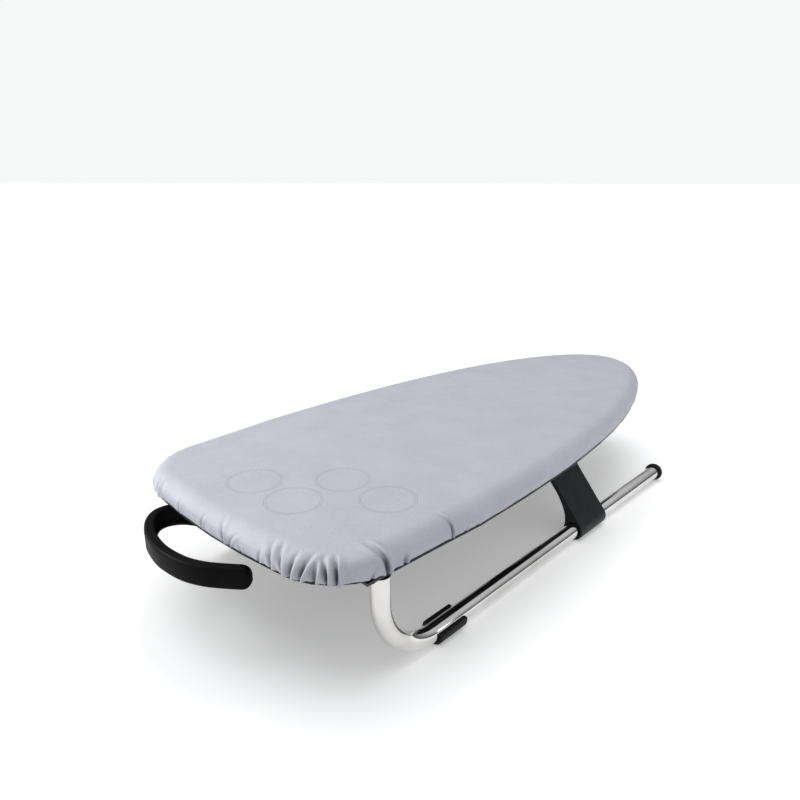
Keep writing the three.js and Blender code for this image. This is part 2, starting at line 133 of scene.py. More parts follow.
# The hanging handle: a tall band along a plan curve, and a plate that is screwed to the panel.
PANEL_BOTTOM = box_span("board_panel", Z)[0]
HANDLE_TOP = 115
HANDLE_HEIGHT = 21.5
HANDLE_THICKNESS = 10
HANDLE_EDGE = 3.4
HANDLE_LINE = [
    (24, 50), (20, 68), (11, 81), (0, 87), (-11, 86), (-21.5, 77), (-30, 63), (-35.5, 48), (-39.7, 22),
    (-37.5, -7), (-30.5, -27), (-20.8, -42.5), (-8.5, -58.5),
]
# The channel along the inner face: height from the band's middle, and depth.
CHANNEL = [(-6.2, 0), (-5.6, 1.2), (-4.9, 2.2), (-4.2, 2.6), (4.2, 2.6), (4.9, 2.2), (5.6, 1.2), (6.2, 0)]
HANDLE_TIP = 6
HANDLE_TIP_HEIGHT = 10
HANDLE_TIP_FULLNESS = 2.15
PLATE_X = (16, 56)
PLATE_Y = (38, 95)
PLATE_OVERLAP = 3
PLATE_GAP = 0.3
PLATE_SCREWS = ((40, 52), (40, 82))
SCREW_HOLE = 2.1
RIB_MIDDLES = (30, 50)
RIB_HALF_WIDTH = 1.5
RIB_Y = (42, 92)
RIB_DEPTH = 8

# The legs.
LEG_Y = -sum(box_span("leg_tube_right", Y)) / 2
TUBE_TOP = box_span("leg_tube_right", Z)[1]
TUBE_RADIUS = 9
TUBE_WALL = 1.2
TUBE_SIDES = 48
RUNNER_Z = box_span("leg_tube_right", Z)[0] + TUBE_RADIUS
BEND_RADIUS = 70
HINGE_Z = sum(box_span("hinge_pin_right", Z)) / 2
PIN_BORE = 2.85
SLOT_HALF_WIDTH = 2.9
SLOT_REACH = 4.9
FOOT_THICKNESS = 3.5
FOOT_CLEARANCE = 0.3
FOOT_OUTER_LIP = 3
FOOT_INNER_LIP = 6.6
# The end cap's plug, then the radius and the distance past the tube's end of points on its head.
PLUG_RADIUS = TUBE_RADIUS - TUBE_WALL - 0.5
PLUG_LENGTH = 14
CAP_HEAD = [
    (10.4, 0.3), (11.4, 0.7), (11.9, 1.8), (12, 3), (12, 4.6), (11.7, 6), (11.0, 7.4), (9.9, 8.5),
    (8.2, 9.3), (6, 9.75), (3, 9.95), (0, 10),
]

# The braces: a sleeve, a flat arm that leaves it in a fillet, and a bead at the arm's top.
SLEEVE_BORE = 9.5
BRACE_LEAN = math.radians(50)
BRACE_THICKNESS = 5.6
BRACE_REACH = 72
FILLET_FROM = 20
FILLET_TO = 50
FILLET_SAG = 1.5
BEAD_RADIUS = 5
BEAD_NECK = 6

# ---- looks ------------------------------------------------------------------------------------------

# The four printed rings, each a pair of thin lines, and the weave of the cloth, in millimetres.
RING_CENTRES = ((61, 23), (61, -37), (122, -37), (122, -98))
RING_RADII = (27.0, 25.0)
RING_LINE = 0.28
RING_COLOUR = (0.20, 0.21, 0.26)
RING_STRENGTH = 0.75
THREAD = 0.9
CLOTH_DARK = (0.345, 0.355, 0.405)
CLOTH_LIGHT = (0.405, 0.415, 0.468)
# Painted shade: the cloth's colour is darkened where something stands within this many millimetres in
# front of it, in its folds.
PAINTED_SHADE_REACH = 9
PAINTED_FOLD_SHADE = (0.05, 0.05, 0.06)

# The floor, half its width in metres, and how much it glows to lift its shadows.
FLOOR_REACH = 60.0
FLOOR_GLOW = 0.30
# What the camera sees behind everything, and the sky that lights it, low down and overhead.
BACKDROP = (0.915, 0.945, 0.935, 1)
HORIZON = (0.10, 0.10, 0.105, 1)
ZENITH = (0.62, 0.63, 0.64, 1)


def place(x, y, z):
    """The place in the frame of a point in board millimetres."""
    return Vector((x - BOARD_LENGTH + NOSE_X, y, z)) * MM


def board_x(metres):
    """The board's own x of a place in the frame."""
    return metres / MM + BOARD_LENGTH - NOSE_X


# ---- camera, with angles in degrees ------------------------------------------------------------------

CAMERA_AT = place(-271.3, -480.5, 421.0)
CAMERA_HEADING = -46.91
CAMERA_DOWN = 18.47
CAMERA_ROLL = 0.13
CAMERA_LENS = 29.95
CAMERA_SENSOR = 36


def make_camera():
    """The camera, where the photograph's stood."""
    data = bpy.data.cameras.new("camera")
    data.lens = CAMERA_LENS
    data.sensor_width = CAMERA_SENSOR
    data.clip_start, data.clip_end = 0.01, 50
    camera = bpy.data.objects.new("camera", data)
    bpy.context.scene.collection.objects.link(camera)
    camera.location = CAMERA_AT
    turn = Euler((math.radians(90 - CAMERA_DOWN), 0, math.radians(CAMERA_HEADING))).to_matrix()
    roll = Matrix.Rotation(math.radians(CAMERA_ROLL), 3, "Z")
    camera.rotation_euler = (turn @ roll).to_euler()
    bpy.context.scene.camera = camera


make_camera()

# ---- mesh helpers -----------------------------------------------------------------------------------


def make_object(name, vertices, faces):
    """A smooth-shaded mesh object from vertices in board millimetres."""
    mesh = bpy.data.meshes.new(name)
    mesh.from_pydata([place(*v) for v in vertices], [], faces)
    mesh.validate()
    shape = bmesh.new()
    shape.from_mesh(mesh)
    bmesh.ops.remove_doubles(shape, verts=shape.verts, dist=1e-7)
    bmesh.ops.recalc_face_normals(shape, faces=shape.faces)
    shape.to_mesh(mesh)
    shape.free()
    for polygon in mesh.polygons:
        polygon.use_smooth = True
    piece = bpy.data.objects.new(name, mesh)
    bpy.context.scene.collection.objects.link(piece)
    return piece


def grid_faces(rows, columns, wrap_rows=False):
    """Quads between closed rings of vertices, and from the last ring back to the first if asked."""
    faces = []
    for i in range(rows if wrap_rows else rows - 1):
        this, following = i * columns, (i + 1) % rows * columns
        for j in range(columns):
            k = (j + 1) % columns
            faces.append((this + j, this + k, following + k, following + j))
    return faces


def end_faces(rows, columns):
    """The two faces that close the first and the last ring of a tube."""
    last = (rows - 1) * columns
    return [tuple(range(columns)), tuple(range(last, last + columns))[::-1]]


def round_section(radius, count):
    """Points of a circle, as two coordinates each."""
    angles = np.linspace(0, 2 * math.pi, count, endpoint=False)
    return np.stack([radius * np.cos(angles), radius * np.sin(angles)], 1)


def smooth_line(points, step):
    """A smooth curve through plan points, sampled about every step millimetres."""
    points = np.array(points, float)
    padded = np.vstack([2 * points[0] - points[1], points, 2 * points[-1] - points[-2]])
    line = []
    for i in range(len(points) - 1):
        p0, p1, p2, p3 = padded[i:i + 4]
        for t in np.linspace(0, 1, 24, endpoint=False):
            line.append(0.5 * (2 * p1 + (p2 - p0) * t + (2 * p0 - 5 * p1 + 4 * p2 - p3) * t * t
                               + (3 * p1 - p0 - 3 * p2 + p3) * t ** 3))
    line.append(points[-1])
    line = np.array(line)
    reach = np.concatenate([[0], np.cumsum(np.linalg.norm(np.diff(line, axis=0), axis=1))])
    at = np.linspace(0, reach[-1], max(2, round(reach[-1] / step)) + 1)
    return np.stack([np.interp(at, reach, line[:, k]) for k in range(line.shape[1])], 1)


def bevel(piece, width):
    """Rounds a piece's hard edges with a modifier."""
    modifier = piece.modifiers.new("bevel", "BEVEL")
    modifier.width = width * MM
    modifier.segments = 3
    modifier.limit_method = "ANGLE"
    modifier.angle_limit = math.radians(40)
    modifier.harden_normals = True
    return piece


def prism(name, section, x0, x1):
    """A closed section in (y, z), carried from x0 to x1."""
    vertices = [(x, y, z) for x in (x0, x1) for y, z in section]
    return make_object(name, vertices, grid_faces(2, len(section)) + end_faces(2, len(section)))


def block(name, x_range, y_range, z_range):
    """A plain box between two places along each axis."""
    (y0, y1), (z0, z1) = y_range, z_range
    return prism(name, [(y0, z0), (y1, z0), (y1, z1), (y0, z1)], *x_range)


def cut(piece, cutter):
    """Takes the cutter's shape out of a piece."""
    modifier = piece.modifiers.new("cut", "BOOLEAN")
    modifier.operation = "DIFFERENCE"
    modifier.object = cutter
    modifier.solver = "EXACT"
    apply_modifiers(piece)
    bpy.data.objects.remove(cutter)


def apply_modifiers(piece):
    """Turns a piece's modifiers into mesh."""
    dependencies = bpy.context.evaluated_depsgraph_get()
    mesh = bpy.data.meshes.new_from_object(piece.evaluated_get(dependencies))
    piece.modifiers.clear()
    piece.data = mesh


def join(name, pieces):
    """One object out of several."""
    shape = bmesh.new()
    for piece in pieces:
        shape.from_mesh(piece.data)
        bpy.data.objects.remove(piece)
    mesh = bpy.data.meshes.new(name)
    shape.to_mesh(mesh)
    shape.free()
    joined = bpy.data.objects.new(name, mesh)
    bpy.context.scene.collection.objects.link(joined)
    return joined


def bevelled(piece, width):
    """A piece with its edges rounded in the mesh itself."""
    bevel(piece, width)
    apply_modifiers(piece)
    return piece


def sharpen(piece, angle=35):
    """Keeps hard edges hard on a smooth-shaded piece."""
    shape = bmesh.new()
    shape.from_mesh(piece.data)
    for edge in shape.edges:
        edge.smooth = not (edge.is_manifold and edge.calc_face_angle() > math.radians(angle))
    shape.to_mesh(piece.data)
    shape.free()
    return piece


# ---- board outline ----------------------------------------------------------------------------------


def side_half_width(x):
    """Half of the board's width between the rear end and the shoulder."""
    return REAR_HALF_WIDTH + (SHOULDER_HALF_WIDTH - REAR_HALF_WIDTH) * (x / SHOULDER_X) ** SIDE_SWELL


def right_half_outline():
    """Points from the middle of the rear end round the right side to the nose."""
    points = []
    flat = REAR_HALF_WIDTH - REAR_CORNER_RADIUS
    for y in np.linspace(0, flat, 20, endpoint=False):
        points.append((-REAR_BULGE * (1 - (y / flat) ** 2), -y))
    for angle in np.radians(np.linspace(0, 90, 40, endpoint=False)):
        x = REAR_CORNER_RADIUS * (1 - math.cos(angle))
        points.append((x, -side_half_width(x) + REAR_CORNER_RADIUS * (1 - math.sin(angle))))
    for x in np.linspace(REAR_CORNER_RADIUS, SHOULDER_X, 20, endpoint=False):
        points.append((x, -side_half_width(x)))
    for angle in np.radians(np.linspace(0, 90, 200)):
        along = math.sin(angle) ** (2 / NOSE_FULLNESS)
        x = SHOULDER_X + (BOARD_LENGTH - SHOULDER_X) * along
        points.append((x, -SHOULDER_HALF_WIDTH * math.cos(angle)))
    return np.array(points)


HALF_OUTLINE = right_half_outline()
HALF_REACH = np.concatenate([[0], np.cumsum(np.linalg.norm(np.diff(HALF_OUTLINE, axis=0), axis=1))])
HALF_LENGTH = HALF_REACH[-1]


def outline_point(s):
    """Plan point at s mm along the outline from the middle of the rear end.

    s is positive round the right side and negative round the left, up to HALF_LENGTH at the nose.
    """
    wrapped = (s + HALF_LENGTH) % (2 * HALF_LENGTH) - HALF_LENGTH
    x = np.interp(np.abs(wrapped), HALF_REACH, HALF_OUTLINE[:, 0])
    y = np.interp(np.abs(wrapped), HALF_REACH, HALF_OUTLINE[:, 1])
    return np.stack([x, np.where(wrapped >= 0, y, -y)], -1)


def outline_at(s):
    """Plan point and outward direction at s mm along the outline, evened out over a short stretch."""
    spots = [outline_point(s + share * OUTLINE_SMOOTHING) for share in (-1, -0.5, 0, 0.5, 1)]
    along = spots[-1] - spots[0]
    along /= np.linalg.norm(along, axis=-1)[..., None]
    middle = sum(weight * spot for weight, spot in zip((0.1, 0.2, 0.4, 0.2, 0.1), spots))
    outward = np.stack([along[..., 1], -along[..., 0]], -1)
    return middle, outward


def stations_round(coarse, fine):
    """Places along the outline, close together round the rear end and wider apart at the nose."""
    right = [0.0]
    while right[-1] < HALF_LENGTH - coarse:
        right.append(right[-1] + (fine if right[-1] < FINE_STATIONS_TO else coarse))
    right = np.array(right)
    left = -right[1:][::-1]
    return np.concatenate([left, right, [HALF_LENGTH]])


# ---- cloth cover ------------------------------------------------------------------------------------


def random_creases():
    """Gathers where no crease is listed: the left rear corner, the sides and the nose."""
    rng = np.random.default_rng(41)
    creases = []
    s, end = REAR_LEFT_GATHERS
    while s < end:
        creases.append((s, rng.uniform(-8, 8), rng.uniform(14, 27), rng.uniform(2.4, 3.4),
                        rng.uniform(1.2, 3.2)))
        s += rng.uniform(8, 17)
    for side in (-1, 1):
        s = SIDE_GATHERS_FROM
        while s < HALF_LENGTH - 4:
            nose = s > HALF_LENGTH - NOSE_GATHERS_REACH
            depth = rng.uniform(0.7, 1.7) if nose else rng.uniform(0.25, 0.7)
            creases.append((side * s, rng.uniform(-7, 7), rng.uniform(9, 18), rng.uniform(2.2, 3.6),
                            depth))
            s += rng.uniform(9, 20) if nose else rng.uniform(28, 60)
    return creases


def cover_relief(s, t):
    """How far the cloth stands out of its smooth shape, and how far it slips along the outline.

    s runs along the outline and t up the cloth from the hem. Each crease is a narrow valley with a
    full roll of cloth on one side and a lesser one on the other, and it fans out as it rises.
    """
    relief = np.zeros_like(s)
    slip = np.zeros_like(s)
    for foot, shift, top, width, depth in CREASES + TUCKS + random_creases():
        up = np.clip(t / top, 0, 1)
        line = foot + shift * up ** 1.5
        fade = (1 - up) ** 0.8
        offset = (s - line + HALF_LENGTH) % (2 * HALF_LENGTH) - HALF_LENGTH
        x = offset / (width * (0.75 + 0.8 * up))
        roll = np.exp(-((x - 1.5) / 0.95) ** 2)
        far_roll = np.exp(-((x + 1.8) / 1.1) ** 2)
        relief += depth * fade * (0.75 * roll + 0.3 * far_roll - np.exp(-np.abs(x / 0.62) ** 1.4))
        slip -= TUCK_OVERLAP * depth * fade * roll
    ripple = sum(height * np.sin(s / length + phase) for height, length, phase in RIPPLES)
    relief += ripple * np.exp(-((t - RIPPLE_MIDDLE) / RIPPLE_REACH) ** 2)
    room = np.interp(t, *zip(*VALLEY_ROOM))
    relief = np.where(relief < 0, room * np.tanh(relief / room), relief)
    along, up, along_reach, up_reach, depth = BULGE
    relief += depth * np.exp(-((s - along) / along_reach) ** 2 - ((t - up) / up_reach) ** 2)
    return relief, slip


def cover_profile(t):
    """Inset from the outline, height, and outward and upward parts of the normal, t mm up from the hem."""
    angle = np.clip((t - SIDE_HEIGHT) / EDGE_ARC, 0, 1) * math.pi / 2
    on_top = np.clip(t - SIDE_HEIGHT - EDGE_ARC, 0, None)
    belly = COVER_BELLY * np.sin(np.clip(t / BELLY_HEIGHT, 0, 1) * math.pi)
    inset = COVER_INSET - belly + EDGE_REACH * (1 - np.cos(angle)) + on_top
    height = HEM + np.clip(t, 0, SIDE_HEIGHT) + EDGE_DROP * np.sin(angle)
    out, rise = EDGE_DROP * np.cos(angle), EDGE_REACH * np.sin(angle)
    length = np.hypot(out, rise)
    return inset, height, out / length, rise / length


def board_rings(s, inset, height):
    """Points of one closed ring round the board."""
    middle, outward = outline_at(s)
    plan = middle - outward * np.asarray(inset)[..., None]
    return np.column_stack([plan, np.broadcast_to(height, s.shape)])


def top_rings(s, start, height, count):
    """Rings that close a flat face, from the ring start inwards to the board's spine."""
    goal_x = np.clip(outline_at(s)[0][:, 0], *SPINE)
    rings = []
    for share in np.linspace(0, 1, count + 1)[1:]:
        x = start[:, 0] * (1 - share) + goal_x * share
        rings.append(np.column_stack([x, start[:, 1] * (1 - share), np.full_like(x, height)]))
    return rings


def hem_drop(s):
    """How far the hem hangs below its usual height: it dips round the near corner and scallops."""
    dip = DIP_DEPTH * np.exp(-((s - DIP_AT) / DIP_REACH) ** 2) - HEM_LIFT
    scallops = SCALLOP_DEPTH * np.sin(s / SCALLOP_SIZE)
    return dip + scallops * np.exp(-((s - SCALLOP_AT) / SCALLOP_REACH) ** 2)


def make_cover():
    """The fitted cover, as rings from the turned hem up to the spine of its flat top."""
    s = stations_round(2.4, 0.85)
    drop = hem_drop(s)
    flat_from = SIDE_HEIGHT + EDGE_ARC
    turned = board_rings(s, np.full_like(s, COVER_INSET + HEM_TURN), HEM)
    turned[:, 2] -= drop
    rings = [turned]
    for t in (*np.linspace(0.3, flat_from, COVER_ROWS), *(flat_from + COVER_TOP_STEPS)):
        inset, height, out, rise = cover_profile(t)
        relief, slip = cover_relief(s, np.full_like(s, t))
        ring = board_rings(s + slip, inset - relief * out, height + relief * rise)
        ring[:, 2] -= drop * max(0, 1 - t / HEM_DROP_REACH)
        rings.append(ring)
    rings += top_rings(s, rings[-1], CROWN, 12)
    piece = make_object("cloth_cover", np.vstack(rings), grid_faces(len(rings), len(s)))
    thickness = piece.modifiers.new("thickness", "SOLIDIFY")
    thickness.thickness = CLOTH_THICKNESS * MM
    thickness.offset = -1
    return piece


# ---- what the cloth covers --------------------------------------------------------------------------


def make_pad():
    """The felt: a sheet with a softly rounded upper edge."""
    s = stations_round(5, 4)
    edge = [board_rings(s, np.full_like(s, inset), PAD_BOTTOM + up) for inset, up in PAD_EDGE]
    lower = top_rings(s, edge[0], PAD_BOTTOM, 5)[::-1]
    rings = lower + edge + top_rings(s, edge[-1], PAD_TOP, 5)
    return make_object("felt", np.vstack(rings), grid_faces(len(rings), len(s)))


def make_hem_cord():
    """The elastic drawn round inside the hem."""
    s = stations_round(5, 4)
    middle, outward = outline_at(s)
    rings = []
    for sideways, up in round_section(CORD_RADIUS, 10):
        plan = middle - outward * (CORD_INSET + sideways)
        rings.append(np.column_stack([plan, np.full_like(s, CORD_MIDDLE + up)]))
    return make_object("hem_elastic", np.vstack(rings), grid_faces(len(rings), len(s), wrap_rows=True))


# ---- hanging handle ---------------------------------------------------------------------------------


def handle_section():
    """The band's section as (inwards, up) points, with a channel along its inner face."""
    points = []
    half_thick, half_high = HANDLE_THICKNESS / 2, HANDLE_HEIGHT / 2
    for corner, (cx, cy) in enumerate(((1, 1), (-1, 1), (-1, -1), (1, -1))):
        for angle in np.radians(np.linspace(0, 90, 7) + 90 * corner):
            points.append((cx * (half_thick - HANDLE_EDGE) + HANDLE_EDGE * math.cos(angle),
                           cy * (half_high - HANDLE_EDGE) + HANDLE_EDGE * math.sin(angle)))
    channel = [(half_thick - depth, up) for up, depth in CHANNEL]
    return np.array(channel + points)


def upright_hole(x, y, z0, z1, sides=24):
    """A cutter for a screw's hole."""
    circle = round_section(SCREW_HOLE, sides) + (x, y)
    rings = [np.column_stack([circle, np.full(sides, z)]) for z in (z0, z1)]
    return make_object("hole", np.vstack(rings), grid_faces(2, sides) + end_faces(2, sides))


def rounded_end(distance, reach):
    """Share of full size at a distance from a rounded end that is reach long."""
    share = np.clip(1 - distance / reach, 0, 0.999)
    return (1 - share ** HANDLE_TIP_FULLNESS) ** (1 / HANDLE_TIP_FULLNESS)


def make_handle():
    """The curled band with its rounded tip, its plate under the panel, and two ribs between them."""
    line = smooth_line(HANDLE_LINE, 2.0)
    way = (line[-1] - line[-3]) / np.linalg.norm(line[-1] - line[-3])
    steps = HANDLE_TIP * np.sin(np.radians(np.linspace(0, 90, 10)))[1:]
    line = np.vstack([line, line[-1] + steps[:, None] * way])
    reach = np.concatenate([[0], np.cumsum(np.linalg.norm(np.diff(line, axis=0), axis=1))])
    along = np.gradient(line, reach, axis=0)
    along /= np.linalg.norm(along, axis=1)[:, None]
    inward = np.stack([-along[:, 1], along[:, 0]], 1)
    section = handle_section()
    middle_z = HANDLE_TOP - HANDLE_HEIGHT / 2
    to_tip = reach[-1] - reach
    thick, high = rounded_end(to_tip, HANDLE_TIP), rounded_end(to_tip, HANDLE_TIP_HEIGHT)
    rings = []
    for i, point in enumerate(line):
        plan = point + np.outer(section[:, 0] * thick[i], inward[i])
        rings.append(np.column_stack([plan, middle_z + section[:, 1] * high[i]]))
    size = (len(rings), len(section))
    band = make_object("band", np.vstack(rings), grid_faces(*size) + end_faces(*size))
    foot = HANDLE_TOP - PLATE_OVERLAP
    plate = block("plate", PLATE_X, PLATE_Y, (foot, PANEL_BOTTOM - PLATE_GAP))
    for x, y in PLATE_SCREWS:
        cut(plate, upright_hole(x, y, foot - 5, foot + 10))
    parts = [band, bevelled(plate, 0.8)]
    for x in RIB_MIDDLES:
        rib = block("rib", (x - RIB_HALF_WIDTH, x + RIB_HALF_WIDTH), RIB_Y, (foot - RIB_DEPTH, foot + 1))
        parts.append(bevelled(rib, 0.6))
    return sharpen(join("curled_handle", parts), 45)


# ---- legs -------------------------------------------------------------------------------------------


def leg_line(y, top_x, end_x):
    """The tube's middle line: down from its top, round the bend and along the runner."""
    bend_x, bend_z = top_x + BEND_RADIUS, RUNNER_Z + BEND_RADIUS
    points = [(top_x, y, TUBE_TOP)]
    for angle in np.radians(np.linspace(0, 90, 31)):
        points.append((bend_x - BEND_RADIUS * math.cos(angle), y, bend_z - BEND_RADIUS * math.sin(angle)))
    points.append((end_x, y, RUNNER_Z))
    return np.array(points)


def make_leg_tube(side):
    """A bent tube, open at both ends, with a pin's bore and a tongue's slot through its upper end."""
    y = SIDES[side] * LEG_Y
    low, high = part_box(f"leg_tube_{side}")
    top_x = board_x(low.x) + TUBE_RADIUS
    line = leg_line(y, top_x, board_x(high.x))
    along = np.gradient(line, axis=0)
    along[:2] = (0, 0, -1)
    along[-2:] = (1, 0, 0)
    along /= np.linalg.norm(along, axis=1)[:, None]
    sideways = np.array([0, 1, 0])
    rings = []
    for radius, order in ((TUBE_RADIUS, 1), (TUBE_RADIUS - TUBE_WALL, -1)):
        section = round_section(radius, TUBE_SIDES)
        for point, way in list(zip(line, along))[::order]:
            up = np.cross(way, sideways)
            rings.append(point + np.outer(section[:, 0], sideways) + np.outer(section[:, 1], up))
    faces = grid_faces(len(rings), TUBE_SIDES, wrap_rows=True)
    piece = make_object(f"bent_tube_{side}", np.vstack(rings), faces)
    bore = round_section(PIN_BORE, 24) + (y, HINGE_Z)
    cut(piece, prism("bore", bore, top_x - 20, top_x + 20))
    slot_y = sorted((y - SIDES[side] * 2 * TUBE_RADIUS, y + SIDES[side] * SLOT_REACH))
    cut(piece, block("slot", (top_x - SLOT_HALF_WIDTH, top_x + SLOT_HALF_WIDTH), slot_y,
                     (HINGE_Z - SLOT_REACH, TUBE_TOP + 1)))
    return sharpen(piece)


def make_foot_pad(side):
    """A rubber half-sleeve under the runner."""
    low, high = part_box(f"foot_pad_{side}")
    inner = TUBE_RADIUS + FOOT_CLEARANCE
    outer = inner + FOOT_THICKNESS

    def arc(radius, steps):
        """Points under the tube from the outer lip to the inner one, from the runner's middle."""
        start = math.pi + math.asin(-FOOT_OUTER_LIP / radius)
        end = 2 * math.pi + math.asin(FOOT_INNER_LIP / radius)
        return [(radius * math.cos(a), radius * math.sin(a)) for a in np.linspace(start, end, steps)]

    round_it = arc(outer, 49) + arc(inner, 41)[::-1]
    section = [(SIDES[side] * (LEG_Y - u), max(0.0, RUNNER_Z + v)) for u, v in round_it]
    return bevel(prism(f"foot_rubber_{side}", section, board_x(low.x), board_x(high.x)), 0.9)


def make_end_cap(side):
    """A round-nosed cap with a plug inside the tube."""
    start = board_x(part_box(f"leg_tube_{side}")[1].x)
    profile = [(0, -PLUG_LENGTH), (PLUG_RADIUS - 1, -PLUG_LENGTH), (PLUG_RADIUS, 1 - PLUG_LENGTH)]
    profile += [(PLUG_RADIUS, CAP_HEAD[0][1]), *CAP_HEAD]
    rings = []
    for radius, along in profile:
        section = round_section(radius, TUBE_SIDES) + (SIDES[side] * LEG_Y, RUNNER_Z)
        rings.append(np.column_stack([np.full(TUBE_SIDES, start + along), section]))
    faces = grid_faces(len(rings), TUBE_SIDES)
    return sharpen(make_object(f"tube_cap_{side}", np.vstack(rings), faces), 50)


def brace_section(side):
    """The brace's section in (y, z).

    It is drawn from the runner's middle with u along the arm and v across it, and then leant over. Its
    sleeve reaches down to the floor, so the sleeve's radius is the runner's height.
    """
    face = RUNNER_Z
    inner = face - BRACE_THICKNESS
    points = [(face * math.cos(a), face * math.sin(a)) for a in np.radians(np.arange(90, 321, 5))]
    p0, p1, p2 = np.array((points[-1], (FILLET_FROM, inner - FILLET_SAG), (FILLET_TO, inner)))
    for t in np.linspace(0, 1, 13)[1:]:
        points.append(tuple((1 - t) ** 2 * p0 + 2 * t * (1 - t) * p1 + t * t * p2))
    bead_y = face - BRACE_THICKNESS / 2
    for a in np.radians(np.arange(-140, 141, 10)):
        points.append((BRACE_REACH + BEAD_RADIUS * math.cos(a), bead_y + BEAD_RADIUS * math.sin(a)))
    points.append((BRACE_REACH - BEAD_NECK, face))
    section = []
    for u, v in points:
        out = LEG_Y - u * math.cos(BRACE_LEAN) + v * math.sin(BRACE_LEAN)
        up = RUNNER_Z + u * math.sin(BRACE_LEAN) + v * math.cos(BRACE_LEAN)
        section.append((SIDES[side] * out, up))
    return section


def make_brace(side):
    """A moulding with a sleeve round the runner, a flat arm and a bead."""
    low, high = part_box(f"brace_{side}")
    x0, x1 = board_x(low.x), board_x(high.x)
    brace = prism(f"strut_{side}", brace_section(side), x0, x1)
    bore = round_section(SLEEVE_BORE, TUBE_SIDES) + (SIDES[side] * LEG_Y, RUNNER_Z)
    cut(brace, prism("bore", bore, x0 - 5, x1 + 5))
    return bevel(sharpen(brace), 1.1)


# ---- materials --------------------------------------------------------------------------------------


class Finish:
    """A procedural material. Its textures run in the piece's own space."""

    def __init__(self, name, roughness, metallic=0.0):
        self.material = bpy.data.materials.new(name)
        self.material.use_nodes = True
        self.nodes = self.material.node_tree.nodes
        self.links = self.material.node_tree.links
        self.shader = self.nodes["Principled BSDF"]
        self.shader.inputs["Roughness"].default_value = roughness
        self.shader.inputs["Metallic"].default_value = metallic
        self.where = self.nodes.new("ShaderNodeTexCoord").outputs["Object"]

    def set(self, **values):
        """Sets the shader's own sockets."""
        for name, value in values.items():
            self.shader.inputs[name.replace("_", " ")].default_value = value

    def node(self, kind, *feeds, **settings):
        """A new node with its first inputs fed by sockets or set to plain values."""
        node = self.nodes.new("ShaderNode" + kind)
        for key, value in settings.items():
            setattr(node, key, value)
        for socket, source in zip(node.inputs, feeds):
            if isinstance(source, bpy.types.NodeSocket):
                self.links.new(source, socket)
            else:
                socket.default_value = source
        return node

    def math(self, operation, *feeds):
        """The result of a sum on sockets or plain values."""
        return self.node("Math", *feeds, operation=operation).outputs[0]

    def grain(self, size, detail=4.0, stretch=(1, 1, 1)):
        """Noise in lumps about size mm across, drawn out along the axes by stretch."""
        mapping = self.node("Mapping", self.where)
        mapping.inputs["Scale"].default_value = [1 / (size * MM * k) for k in stretch]
        noise = self.node("TexNoise", mapping.outputs[0])
        noise.inputs["Scale"].default_value = 1
        noise.inputs["Detail"].default_value = detail
        return noise.outputs["Fac"]

    def colour(self, factor, dark, light, spread=0.2):
        """Base colour that runs from dark to light with a factor about one half."""
        ramp = self.node("ValToRGB", factor)
        stops = ramp.color_ramp.elements
        stops[0].position, stops[1].position = 0.5 - spread, 0.5 + spread
        stops[0].color, stops[1].color = (*dark, 1), (*light, 1)
        self.links.new(ramp.outputs[0], self.shader.inputs["Base Color"])
        return ramp.outputs[0]

    def tint_over(self, mask, under, colour, amount):
        """Lays a colour over the base colour where the mask is one."""
        mix = self.node("MixRGB", self.math("MULTIPLY", mask, amount), under, (*colour, 1))
        self.links.new(mix.outputs[0], self.shader.inputs["Base Color"])
        return mix.outputs[0]

    def vary_roughness(self, factor, low, high):
        """Roughness that follows a factor about one half."""
        spread = self.node("MapRange", factor, 0.3, 0.7, low, high)
        self.links.new(spread.outputs[0], self.shader.inputs["Roughness"])

    def bump(self, *layers, soften=None):
        """Surface relief from (height, size in mm) layers, over edges softened by a radius in mm."""
        normal = None
        if soften:
            normal = self.node("Bevel", soften * MM, samples=6).outputs[0]
        for height, size in layers:
            bump = self.node("Bump")
            bump.inputs["Distance"].default_value = size * MM
            bump.inputs["Strength"].default_value = 1
            self.links.new(height, bump.inputs["Height"])
            if normal is not None:
                self.links.new(normal, bump.inputs["Normal"])
            normal = bump.outputs[0]
        self.links.new(normal, self.shader.inputs["Normal"])


def cloth_finish():
    """Silver-grey cotton: a fine plain weave, printed with thin rings, with painted shade that darkens its
    colour in its folds.
    """
    look = Finish("silver_cloth", 0.62)
    threads = []
    for across in ((1, 0, 1), (0, 1, 1)):
        wave = [2 * math.pi * k / (THREAD * MM) for k in across]
        where = look.node("VectorMath", look.where, wave, operation="DOT_PRODUCT").outputs["Value"]
        threads.append(look.math("SINE", where))
    weave = look.math("MULTIPLY", *threads)
    fine = look.math("MULTIPLY", look.grain(1.1, 3), 0.65)
    uneven = look.math("ADD", fine, look.math("MULTIPLY", look.grain(40), 0.35))
    cloth = look.colour(uneven, CLOTH_DARK, CLOTH_LIGHT, 0.12)
    for x, y in RING_CENTRES:
        centre = place(x, y, CROWN)
        reach = look.node("VectorMath", look.where, centre, operation="DISTANCE").outputs["Value"]
        for radius in RING_RADII:
            line = look.math("COMPARE", reach, radius * MM, RING_LINE * MM)
            cloth = look.tint_over(line, cloth, RING_COLOUR, RING_STRENGTH)
    # Painted shade: ambient occlusion darkens the cloth's base colour in its folds and hollows.
    painted_fold_occlusion = look.node("AmbientOcclusion", samples=8)
    painted_fold_occlusion.inputs["Distance"].default_value = PAINTED_SHADE_REACH * MM
    look.tint_over(look.math("SUBTRACT", 1.0, painted_fold_occlusion.outputs["AO"]), cloth, PAINTED_FOLD_SHADE, 1.0)
    look.vary_roughness(look.grain(14), 0.55, 0.7)
    look.set(Sheen_Weight=0.12, Sheen_Roughness=0.4)
    look.bump((weave, 0.05), (look.grain(0.8, 2), 0.06), (look.grain(9, 3), 0.12))
    return look.material


